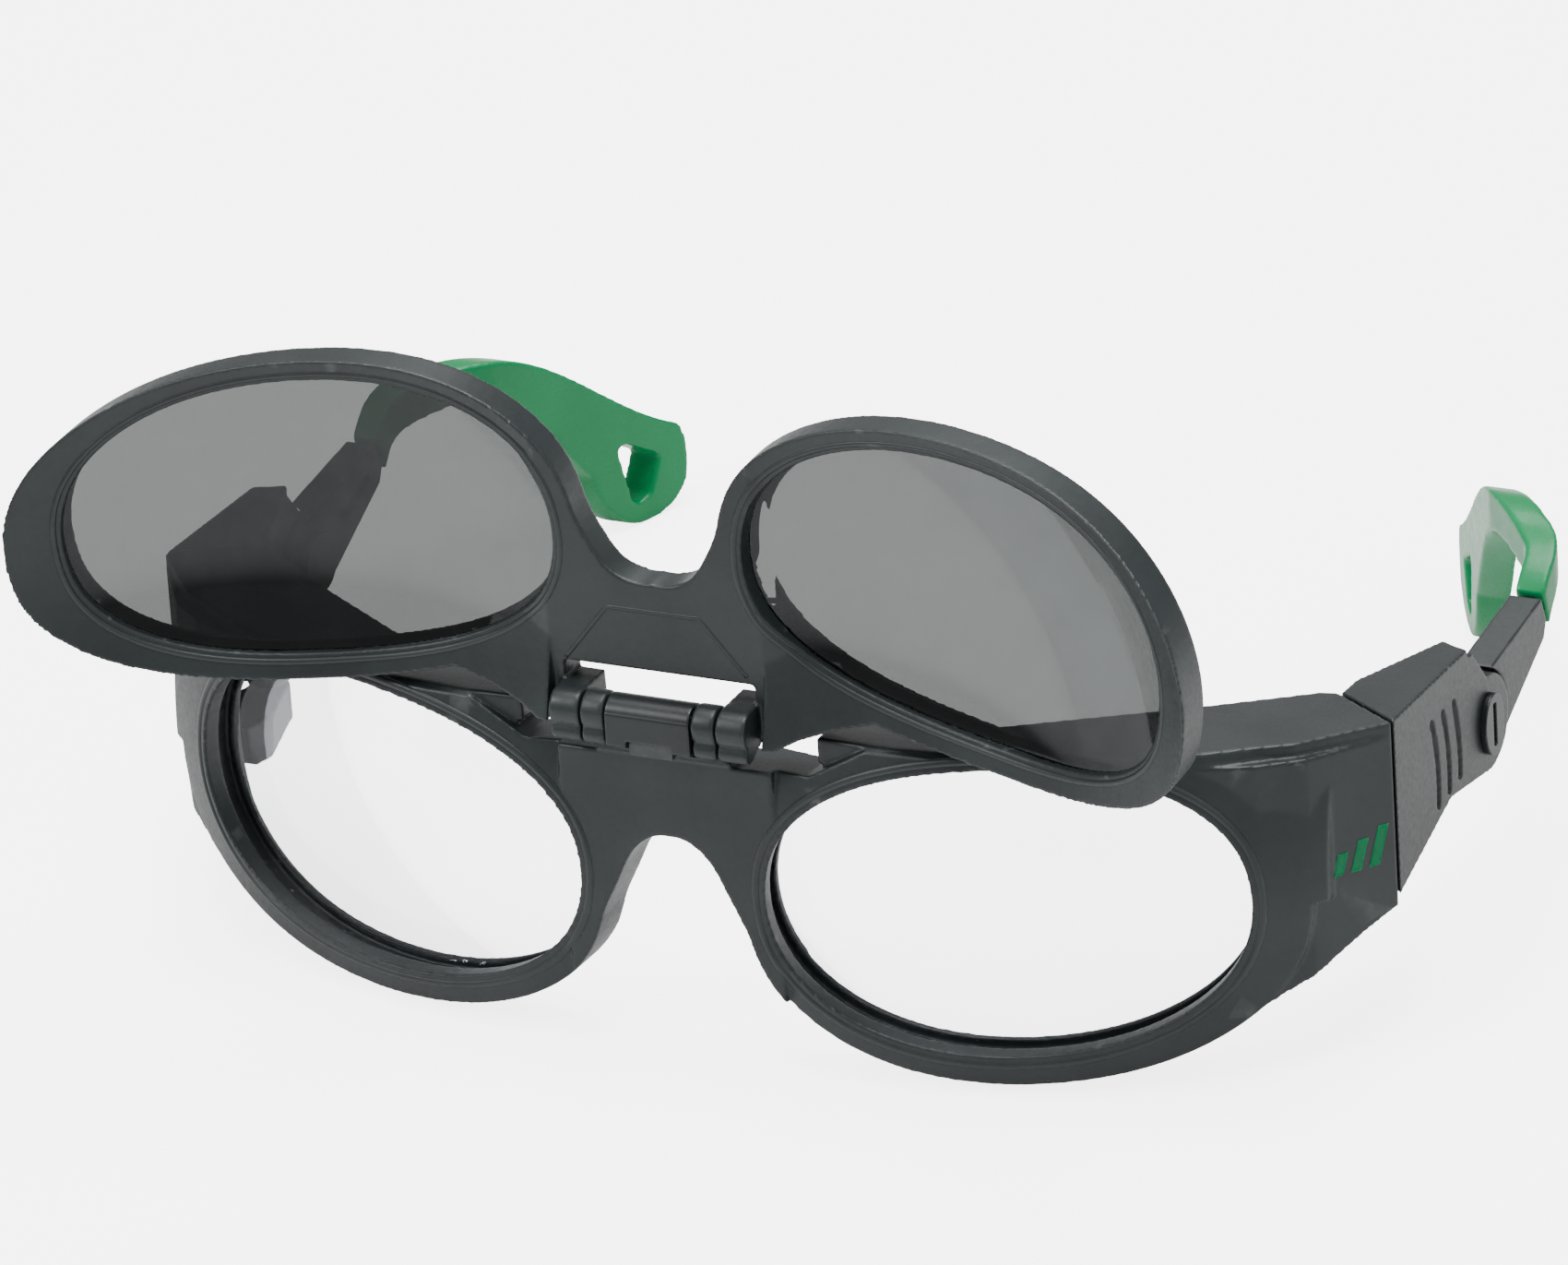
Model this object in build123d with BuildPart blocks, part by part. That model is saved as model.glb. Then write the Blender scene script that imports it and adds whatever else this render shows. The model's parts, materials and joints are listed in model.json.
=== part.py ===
"""Flip-up welding goggles: a clear-lens safety frame with a flip-up shaded front.

Millimetres.  +X is the wearer's left, +Y runs back along the temples, +Z is up.
The goggles lie as set down on a table, on the lower rims and the ear tips.  Sizes are
given in the frame of the front (X across, Y back, Z up the front), and REST leans that
frame back so that rims and tips both touch the table.
"""
from build123d import *
from math import atan2, copysign, cos, degrees, pi, radians, sin, sqrt
import os

os.makedirs("parts", exist_ok=True)

# --- lens openings of the safety frame ------------------------------------------------
LENS_W = 54.0            # width of one opening
LENS_H = 33.6            # height of one opening
LENS_POWER = 2.19        # 2 is an ellipse, more is squarer
LENS_SLANT = 4.6         # outer end turned up, degrees
BRIDGE_W = 25.0          # between the two openings
WRAP = 12.1              # each lens turned outwards, degrees
BASE_R = 67.0            # radius of the spherical front surface
LENS_T = 2.0             # clear lens thickness
GROOVE = 1.2             # how far a lens edge sits in its rim
LENS_SET = 2.4           # clear lens behind the front surface

# --- safety frame -----------------------------------------------------------------------
RIM_DEPTH = 5.4          # rim, front to back
RIM_TOP = 1.6            # rim width above the opening
RIM_BOTTOM = 3.8         # rim width below the opening
RIM_SIDE = 4.2           # rim width at the outer end
BRIDGE_TOP = 14.0        # height of the bridge above the lens centres
NOTCH_TOP = 4.6          # top of the nose notch
SHELF_TOP = 18.2         # top face of the brow shelf
SHELF_T = 3.0            # brow shelf thickness
WALL_T = 3.4             # side wall thickness
WALL_LOW = -3.4          # lower edge of the side walls
SEAM_GAP = 0.4           # between the frame's end and the temple

# --- flip-up front ----------------------------------------------------------------------
FLIP_W = 55.6            # width of one shaded opening
FLIP_H = 32.7            # height of one shaded opening
FLIP_POWER = 2.28
FLIP_X = 40.2            # centre of a shaded opening
FLIP_WRAP = 13.1
FLIP_R = 59.0            # radius of the shaded front's spherical rear surface
FLIP_T = 3.8             # its thickness
FLIP_RIM_TOP = 2.8       # its rim width at the brow, closed
FLIP_RIM_LOW = 2.6       # its rim width at the cheek, closed
FLIP_RIM_SIDE = 2.6      # its rim width at the temple
FLIP_BACK = 4.2          # rear surface ahead of the safety frame, closed
FLIP_NOTCH = 3.3         # top of its nose notch, closed
SHADE_SET = 1.0          # shaded lens in front of the rear surface
FLIP_ANGLE = 176.5       # how far it is flipped up from closed
AXIS_Y = -1.2            # flip hinge axis
AXIS_Z = 19.4
FLIP_RISE = 1.0          # shaded openings above the clear ones, closed
BAR_BACK = 3.0           # rear of its middle ahead of the safety frame, closed
KNUCKLE_R = 2.3          # hinge knuckles
LOBE_R = 1.2             # lower lobe of each knuckle
LOBE_DROP = 2.4          # lobe below the hinge axis
WINDOW_X = 11.5          # half width of the hinge window
WINDOW_EDGE = 4.5        # window edge from the hinge axis
LUG_OUT = 8.1            # outer faces of the hinge lugs
LUG_IN = 5.1             # half width of the middle block
SIDE_GAP = 0.2           # between the middle block, the lugs and the legs
LEG_W = 4.4              # width of the flip-up front beside the window
PIN_R = 1.0              # hinge pin
RUN_FIT = 0.05           # radial clearance of a pin that turns

# --- temples ----------------------------------------------------------------------------
TEMPLE_X = 75.2          # outer face of the temples
TEMPLE_WALL = 3.6        # temple wall thickness
FOLD_X = 66.4            # folding hinge axis
FOLD_Y = 30.6
FOLD_R = 2.4             # folding hinge knuckle radius
FOLD_PIN_R = 0.9         # folding hinge pin
KNUCKLE_GAP = 0.3        # between knuckles along a pin
SEAM_Y = 25.0            # outer end of the seam
TEMPLE_END = 45.0        # rear end of the temple's shelf
INCLINE_Y = 50.6         # incline pivot
INCLINE_Z = 7.4
HUB_R = 5.6              # round end of temple at the incline pivot
HUB_T = 1.8              # thickness of the temple there
ARM_OUT = 74.8           # outer face of the arm
ARM_IN = 70.9            # inner face of the arm
ARM_END = 67.6           # rear end of the arm
ARM_END_Z = 12.9         # where the slider leaves the arm
ARM_UP = 18.0            # slope of the slider, degrees
AXLE_R = 1.6             # incline axle
CORE_H = 2.6             # slider bar height
CORE_T = 1.8             # slider bar thickness
CORE_L = 11.0            # slider bar length inside the arm
SLIDE_GAP = 0.25         # clearance of the slider in its channel
SLIDE_OUT = 7.0          # how far the ear tip pulls out
TIP_T = 3.6              # ear tip thickness
TIP_TURN = 73.0          # where the ear tip starts to turn in

# --- derived ----------------------------------------------------------------------------
LENS_X = BRIDGE_W / 2 + LENS_W / 2 * cos(radians(WRAP))
CURVE_X = LENS_X - BASE_R * sin(radians(WRAP))
CURVE_Y = BASE_R * cos(radians(WRAP))
FLIP_CX = FLIP_X - FLIP_R * sin(radians(FLIP_WRAP))
FLIP_CY = -FLIP_BACK + FLIP_R * cos(radians(FLIP_WRAP))
RIM_LOW = LENS_H / 2 + RIM_BOTTOM + 0.17
RIM_LOW_Y = RIM_LOW ** 2 / (2 * BASE_R) + RIM_DEPTH
KNUCKLE_TOP = SHELF_TOP - SHELF_T
KNUCKLE_SPLIT = KNUCKLE_TOP - 5.5
KNUCKLE_LOW = WALL_LOW + 4.5
TIP_LOW_Y = 96.8
TIP_LOW_Z = -4.2
LEAN = degrees(atan2(TIP_LOW_Z + RIM_LOW, TIP_LOW_Y - RIM_LOW_Y))
REST_Y = -45.64
REST_Z = RIM_LOW * cos(radians(LEAN)) + RIM_LOW_Y * sin(radians(LEAN))
REST = Location((0, REST_Y, REST_Z), (-LEAN, 0, 0))
HINGE_Z = AXIS_Z - FLIP_RISE    # the hinge axis in the flip-up front's own frame


def laid(plane, frame=REST):
    """A plane given in a sub-assembly's own frame, as it lies at rest."""
    return Plane(frame * plane.location)


def level(z):
    """Plane across the goggles at height z of the front's frame."""
    return laid(Plane(origin=(0, 0, z), x_dir=(1, 0, 0), z_dir=(0, 0, 1)))


def front(y):
    """Plane that faces forwards at depth y; its y axis runs up."""
    return laid(Plane(origin=(0, y, 0), x_dir=(1, 0, 0), z_dir=(0, -1, 0)))


def side(x):
    """Plane that faces the wearer's left at x; its x axis runs back, its y axis up."""
    return laid(Plane(origin=(x, 0, 0), x_dir=(0, 1, 0), z_dir=(1, 0, 0)))


def lens_plane(x, y, wrap, ahead=0.0):
    """Plane of one lens at its centre, facing forwards and turned outwards by wrap."""
    c = cos(radians(wrap))
    s = sin(radians(wrap))
    place = Plane(origin=(x, y, 0), x_dir=(c, s, 0), z_dir=(s, -c, 0))
    return laid(place.offset(ahead))


def oval(width, height, power, slant, centre_x=0.0, centre_y=0.0, count=24):
    """Points of a superellipse about (centre_x, centre_y), turned by slant degrees."""
    points = []
    for i in range(count):
        t = 2 * pi * (i + 0.5) / count
        x = copysign(abs(cos(t)) ** (2 / power), cos(t)) * width / 2
        y = copysign(abs(sin(t)) ** (2 / power), sin(t)) * height / 2
        c = cos(radians(slant))
        s = sin(radians(slant))
        points.append((centre_x + x * c - y * s, centre_y + x * s + y * c))
    return points


def front_y(x):
    """Depth of the safety frame's front surface at x."""
    return CURVE_Y - sqrt(BASE_R ** 2 - (x - CURVE_X) ** 2)


# The front's frame points of the folding seam: inner end, outer end.
SEAM_IN = (FOLD_X - 0.8, FOLD_Y + 0.6)
SEAM_OUT = (TEMPLE_X + 1.0, SEAM_Y - 0.6)
RIM_END_X = LENS_X + LENS_W / 2 * cos(radians(WRAP)) + 2.4
RIM_END_Y = front_y(RIM_END_X)


def seam_y(x):
    """Depth of the folding seam at x."""
    t = (x - SEAM_IN[0]) / (SEAM_OUT[0] - SEAM_IN[0])
    return SEAM_IN[1] + t * (SEAM_OUT[1] - SEAM_IN[1])


def shelf_outline():
    """Half of the brow shelf seen from above, from the bridge to the seam."""
    return [
        (WINDOW_X + LEG_W + 2.0, 1.6),
        (CURVE_X, 1.4),
        (LENS_X, front_y(LENS_X) + 2.9),
        (RIM_END_X - 12.0, front_y(RIM_END_X - 12.0) + 3.0),
        (RIM_END_X, RIM_END_Y + 2.4),
        (TEMPLE_X, seam_y(TEMPLE_X)),
        (FOLD_X, seam_y(FOLD_X)),
        (FOLD_X - 1.8, FOLD_Y - 0.4),
        (FOLD_X - 13.5, FOLD_Y - 8.6),
        (LENS_X - 4.0, 10.5),
        (WINDOW_X + LEG_W + 2.0, 6.0),
    ]


# Centre of the front surface's sphere, on the wearer's left.
CURVE = REST * Location((CURVE_X, CURVE_Y, 0))

# Tool that cuts one lens opening.
with BuildPart() as opening:
    with BuildSketch(lens_plane(LENS_X, 0, WRAP, 20)):
        with BuildLine():
            Spline(*oval(LENS_W, LENS_H, LENS_POWER, LENS_SLANT), periodic=True)
        make_face()
    extrude(amount=-50)

# === clear lenses =======================================================================
with BuildPart() as clear_lens_left:
    with Locations(CURVE):
        Sphere(BASE_R - LENS_SET)
        Sphere(BASE_R - LENS_SET - LENS_T, mode=Mode.SUBTRACT)
    with BuildSketch(lens_plane(LENS_X, 0, WRAP, 20)):
        with BuildLine():
            Spline(
                *oval(LENS_W + 2 * GROOVE, LENS_H + 2 * GROOVE, LENS_POWER, LENS_SLANT),
                periodic=True,
            )
        make_face()
    extrude(amount=-50, mode=Mode.INTERSECT)

with BuildPart() as clear_lens_right:
    mirror(clear_lens_left.part, about=Plane.YZ)

# === safety frame =======================================================================
with BuildPart() as side_wall:
    # seen from above it runs from the rim to the seam
    with BuildSketch(level(-30)):
        Polygon(
            (RIM_END_X - 12.0, front_y(RIM_END_X - 12.0) + 2.6),
            (RIM_END_X - 3.0, front_y(RIM_END_X - 3.0) + 1.2),
            (RIM_END_X + 1.4, RIM_END_Y + 2.2),
            (TEMPLE_X, seam_y(TEMPLE_X)),
            (TEMPLE_X - WALL_T, seam_y(TEMPLE_X - WALL_T)),
            (RIM_END_X - 2.4, RIM_END_Y + 5.4),
            (RIM_END_X - 13.0, front_y(RIM_END_X - 13.0) + 5.6),
            align=None,
        )
    extrude(amount=60)
    # seen from the side its lower edge rises to the seam
    with BuildSketch(side(90)):
        with BuildLine():
            Line((-2, SHELF_TOP - 1.5), (40, SHELF_TOP - 1.5))
            Line((40, SHELF_TOP - 1.5), (40, WALL_LOW))
            Line((40, WALL_LOW), (TEMPLE_END - 20, WALL_LOW))
            ThreePointArc((TEMPLE_END - 20, WALL_LOW), (16.0, -9.0), (8.0, -16.0))
            Line((8.0, -16.0), (-2, -16.0))
            Line((-2, -16.0), (-2, SHELF_TOP - 1.5))
        make_face()
    extrude(amount=-60, mode=Mode.INTERSECT)

with BuildPart() as front_frame:
    # spherical shell that each rim is cut from
    with Locations(CURVE):
        Sphere(BASE_R)
        Sphere(BASE_R - RIM_DEPTH, mode=Mode.SUBTRACT)
    with BuildSketch(level(-30)):
        with Locations(((RIM_END_X + 13.5) / 2, CURVE_Y / 2 - 10)):
            Rectangle(RIM_END_X - 6.5, CURVE_Y)
    extrude(amount=60, mode=Mode.INTERSECT)
    mirror(about=Plane.YZ)
    with BuildSketch(level(-30)):
        with Locations((0, RIM_DEPTH / 2 + 0.4)):
            Rectangle(26.0, RIM_DEPTH + 0.8)
    extrude(amount=60)
    with BuildSketch(front(-20)):
        with BuildLine():
            Spline(
                *oval(
                    LENS_W + 2 * RIM_SIDE - 1.6,
                    LENS_H + RIM_TOP + RIM_BOTTOM,
                    LENS_POWER,
                    LENS_SLANT,
                    LENS_X,
                    (RIM_TOP - RIM_BOTTOM) / 2,
                ),
                periodic=True,
            )
        make_face()
        with BuildLine():
            Polyline(
                (0, NOTCH_TOP),
                (0, BRIDGE_TOP),
                (WINDOW_X + LEG_W + 1.2, BRIDGE_TOP),
                (24, SHELF_TOP - 0.4),
                (RIM_END_X - 6, SHELF_TOP),
                (RIM_END_X + 3.0, SHELF_TOP - 2.2),
                (RIM_END_X + 3.0, 0),
                (LENS_X, 0),
                (LENS_X - LENS_W / 2 + 1, -6),
                (9.5, -7.6),
            )
            Spline(
                (9.5, -7.6),
                (8.3, NOTCH_TOP - 9.2),
                (6.8, NOTCH_TOP - 6.3),
                (5.0, NOTCH_TOP - 2.8),
                (2.7, NOTCH_TOP - 0.6),
                (0, NOTCH_TOP),
            )
        make_face()
        mirror(about=Plane.YZ)
    extrude(amount=-60, mode=Mode.INTERSECT)
    # brow shelf and the side walls that carry the folding hinges
    with BuildSketch(level(SHELF_TOP - SHELF_T)):
        Polygon(*shelf_outline(), align=None)
        mirror(about=Plane.YZ)
    extrude(amount=SHELF_T)
    add(side_wall.part)
    mirror(side_wall.part, about=Plane.YZ)
    # knuckles of the folding hinge, above and below the temple's own
    for low, high in ((KNUCKLE_SPLIT, KNUCKLE_TOP), (WALL_LOW, KNUCKLE_LOW)):
        with BuildSketch(level(low)):
            with Locations((FOLD_X, FOLD_Y)):
                Circle(FOLD_R)
            Polygon(
                (FOLD_X - FOLD_R, FOLD_Y),
                (FOLD_X - 6.0, FOLD_Y - 12.0),
                (RIM_END_X + 3.0, FOLD_Y - 12.0),
                (FOLD_X + FOLD_R * 0.9, seam_y(FOLD_X + FOLD_R * 0.9)),
                align=None,
            )
            mirror(about=Plane.YZ)
        extrude(amount=high - low)
    # hinge lugs on the bridge, either side of the middle block
    with BuildSketch(side(LUG_OUT)):
        with Locations((AXIS_Y, AXIS_Z)):
            Circle(KNUCKLE_R)
        with Locations((AXIS_Y - 0.9, AXIS_Z - LOBE_DROP)):
            Circle(LOBE_R)
        Polygon(
            (AXIS_Y - 0.6, AXIS_Z - KNUCKLE_R + 0.6),
            (AXIS_Y - 0.6, AXIS_Z - LOBE_DROP - LOBE_R + 0.2),
            (1.0, BRIDGE_TOP - 1.0),
            (5.2, BRIDGE_TOP - 1.0),
            (AXIS_Y + KNUCKLE_R - 0.2, AXIS_Z),
            align=None,
        )
    extrude(amount=-2 * LUG_OUT)
    with BuildSketch(side(LUG_IN + SIDE_GAP)):
        with Locations((AXIS_Y, AXIS_Z)):
            Rectangle(20, 8.6)
    extrude(amount=-2 * (LUG_IN + SIDE_GAP), mode=Mode.SUBTRACT)
    # openings, lens seats and pin bores
    add(opening.part, mode=Mode.SUBTRACT)
    add(clear_lens_left.part, mode=Mode.SUBTRACT)
    mirror(opening.part, about=Plane.YZ, mode=Mode.SUBTRACT)
    mirror(clear_lens_left.part, about=Plane.YZ, mode=Mode.SUBTRACT)
    with BuildSketch(side(WINDOW_X + 2)):
        with Locations((AXIS_Y, AXIS_Z)):
            Circle(PIN_R + RUN_FIT)
    extrude(amount=-2 * (WINDOW_X + 2), mode=Mode.SUBTRACT)
    with BuildSketch(level(-20)):
        with Locations((FOLD_X, FOLD_Y), (-FOLD_X, FOLD_Y)):
            Circle(FOLD_PIN_R)
    extrude(amount=KNUCKLE_TOP + 20, mode=Mode.SUBTRACT)
    # space for the temple's knuckle
    with BuildSketch(level(KNUCKLE_LOW)):
        with Locations((FOLD_X, FOLD_Y), (-FOLD_X, FOLD_Y)):
            Circle(FOLD_R + 0.5)
    extrude(amount=KNUCKLE_SPLIT - KNUCKLE_LOW, mode=Mode.SUBTRACT)

# === flip-up front, modelled closed and then turned up about its hinge ====================
UP = REST * Location((0, AXIS_Y, AXIS_Z)) * Location((0, 0, 0), (-FLIP_ANGLE, 0, 0))
UP = UP * Location((0, -AXIS_Y, -HINGE_Z))


def flip_level(z):
    """Level plane of the closed flip-up front, carried up with it."""
    return laid(Plane(origin=(0, 0, z), x_dir=(1, 0, 0), z_dir=(0, 0, 1)), UP)


def flip_facing(y):
    """Forward-facing plane of the closed flip-up front, carried up with it."""
    return laid(Plane(origin=(0, y, 0), x_dir=(1, 0, 0), z_dir=(0, -1, 0)), UP)


def flip_side(x):
    """Side plane of the closed flip-up front, carried up with it."""
    return laid(Plane(origin=(x, 0, 0), x_dir=(0, 1, 0), z_dir=(1, 0, 0)), UP)


def shade_plane(ahead):
    """Plane of one shaded lens, facing forwards, with the front turned up."""
    c = cos(radians(FLIP_WRAP))
    s = sin(radians(FLIP_WRAP))
    place = Plane(origin=(FLIP_X, -FLIP_BACK, 0), x_dir=(c, s, 0), z_dir=(s, -c, 0))
    return laid(place.offset(ahead), UP)


# Centre of the flip-up front's spheres, on the wearer's left.
FLIP_CURVE = UP * Location((FLIP_CX, FLIP_CY, 0))

with BuildPart() as shade_opening:
    with BuildSketch(shade_plane(20)):
        with BuildLine():
            Spline(*oval(FLIP_W, FLIP_H, FLIP_POWER, LENS_SLANT + 0.5), periodic=True)
        make_face()
    extrude(amount=-40)

with BuildPart() as shade_lens_left:
    with Locations(FLIP_CURVE):
        Sphere(FLIP_R + SHADE_SET + LENS_T)
        Sphere(FLIP_R + SHADE_SET, mode=Mode.SUBTRACT)
    with BuildSketch(shade_plane(20)):
        with BuildLine():
            Spline(
                *oval(
                    FLIP_W + 2 * GROOVE,
                    FLIP_H + 2 * GROOVE,
                    FLIP_POWER,
                    LENS_SLANT + 0.5,
                ),
                periodic=True,
            )
        make_face()
    extrude(amount=-40, mode=Mode.INTERSECT)

with BuildPart() as shade_lens_right:
    mirror(shade_lens_left.part, about=Plane.YZ)

with BuildPart() as flip_front:
    # spherical shell that each rim is cut from, and the bar between them
    with Locations(FLIP_CURVE):
        Sphere(FLIP_R + FLIP_T)
        Sphere(FLIP_R, mode=Mode.SUBTRACT)
    with BuildSketch(flip_level(-30)):
        with Locations((FLIP_X + 3, 0)):
            Rectangle(2 * (FLIP_X - 10), 60)
    extrude(amount=60, mode=Mode.INTERSECT)
    mirror(about=Plane.YZ)
    with BuildSketch(flip_level(-30)):
        Polygon(
            (0, -BAR_BACK),
            (WINDOW_X + 1.5, -BAR_BACK),
            (21.0, -FLIP_BACK - 1.3),
            (21.0, -FLIP_BACK - 2.6),
            (WINDOW_X + 1.5, -BAR_BACK - FLIP_T),
            (0, -BAR_BACK - FLIP_T),
            align=None,
        )
        mirror(about=Plane.YZ)
    extrude(amount=70)
    with BuildSketch(flip_facing(-30)):
        with BuildLine():
            Spline(
                *oval(
                    FLIP_W + FLIP_RIM_SIDE + 4.0,
                    FLIP_H + FLIP_RIM_TOP + FLIP_RIM_LOW,
                    FLIP_POWER,
                    LENS_SLANT + 0.5,
                    FLIP_X + (FLIP_RIM_SIDE - 4.0) / 2,
                    (FLIP_RIM_TOP - FLIP_RIM_LOW) / 2,
                ),
                periodic=True,
            )
        make_face()
        with BuildLine():
            Polyline(
                (0, FLIP_NOTCH),
                (0, HINGE_Z - WINDOW_EDGE),
                (WINDOW_X, HINGE_Z - WINDOW_EDGE),
                (WINDOW_X, HINGE_Z + 2.0),
                (WINDOW_X + LEG_W - 1.4, HINGE_Z + 2.0),
                (WINDOW_X + LEG_W + 1.1, HINGE_Z + 0.8),
                (22.0, 17.6),
                (30.0, 16.0),
                (FLIP_X, 10.0),
                (FLIP_X - 24.0, -5.2),
                (8.9, -5.2),
            )
            Spline(
                (8.9, -5.2),
                (8.0, FLIP_NOTCH - 6.0),
                (6.7, FLIP_NOTCH - 3.6),
                (4.9, FLIP_NOTCH - 1.2),
                (2.6, FLIP_NOTCH - 0.1),
                (0, FLIP_NOTCH),
            )
        make_face()
        mirror(about=Plane.YZ)
    extrude(amount=-60, mode=Mode.INTERSECT)
    # legs inside the window turn on the hinge pin
    for x in (WINDOW_X + 0.3, -LUG_OUT - SIDE_GAP):
        with BuildSketch(flip_side(x)):
            with Locations((AXIS_Y, HINGE_Z)):
                Circle(KNUCKLE_R)
            with Locations((AXIS_Y + 0.9, HINGE_Z + LOBE_DROP)):
                Circle(LOBE_R)
            Polygon(
                (AXIS_Y, HINGE_Z + KNUCKLE_R - 0.4),
                (AXIS_Y + 0.9, HINGE_Z + LOBE_DROP + LOBE_R - 0.3),
                (-BAR_BACK - FLIP_T + 0.5, HINGE_Z + 1.4),
                (-BAR_BACK - FLIP_T + 0.5, HINGE_Z - 2.2),
                (AXIS_Y, HINGE_Z - KNUCKLE_R),
                align=None,
            )
        extrude(amount=-(WINDOW_X + 0.3 - LUG_OUT - SIDE_GAP))
    add(shade_opening.part, mode=Mode.SUBTRACT)
    add(shade_lens_left.part, mode=Mode.SUBTRACT)
    mirror(shade_opening.part, about=Plane.YZ, mode=Mode.SUBTRACT)
    mirror(shade_lens_left.part, about=Plane.YZ, mode=Mode.SUBTRACT)
    with BuildSketch(flip_side(WINDOW_X - 0.3)):
        with Locations((AXIS_Y, HINGE_Z)):
            Circle(PIN_R)
    extrude(amount=-2 * (WINDOW_X - 0.3), mode=Mode.SUBTRACT)

with BuildPart() as flip_hinge_pin:
    with BuildSketch(side(WINDOW_X - 0.5)):
        with Locations((AXIS_Y, AXIS_Z)):
            Circle(PIN_R)
    extrude(amount=-2 * (WINDOW_X - 0.5))

with BuildPart() as hinge_block:
    # middle knuckle that houses the detent spring
    with BuildSketch(side(LUG_IN)):
        with Locations((AXIS_Y, AXIS_Z)):
            Circle(KNUCKLE_R - 0.1)
        Polygon(
            (AXIS_Y - KNUCKLE_R + 0.1, AXIS_Z + 0.6),
            (AXIS_Y - KNUCKLE_R + 0.1, AXIS_Z - 3.1),
            (AXIS_Y + KNUCKLE_R - 0.4, AXIS_Z - 4.3),
            (AXIS_Y + KNUCKLE_R - 0.1, AXIS_Z),
            align=None,
        )
        with Locations((AXIS_Y, AXIS_Z)):
            Circle(PIN_R + RUN_FIT, mode=Mode.SUBTRACT)
    extrude(amount=-2 * LUG_IN)
    with BuildSketch(front(AXIS_Y - KNUCKLE_R)):
        with Locations((0, AXIS_Z - 3.6)):
            Rectangle(5.4, 2.4)
    extrude(amount=-2.0, mode=Mode.SUBTRACT)

with BuildPart() as detent_spring:
    # flat tongue under the middle knuckle
    with BuildSketch(side(2.6)):
        Polygon(
            (AXIS_Y - KNUCKLE_R + 0.8, AXIS_Z - 2.4),
            (AXIS_Y - KNUCKLE_R + 2.0, AXIS_Z - 2.4),
            (AXIS_Y - KNUCKLE_R + 2.0, AXIS_Z - 4.0),
            (AXIS_Y - KNUCKLE_R + 0.8, AXIS_Z - 4.2),
            align=None,
        )
    extrude(amount=-5.2)

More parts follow.
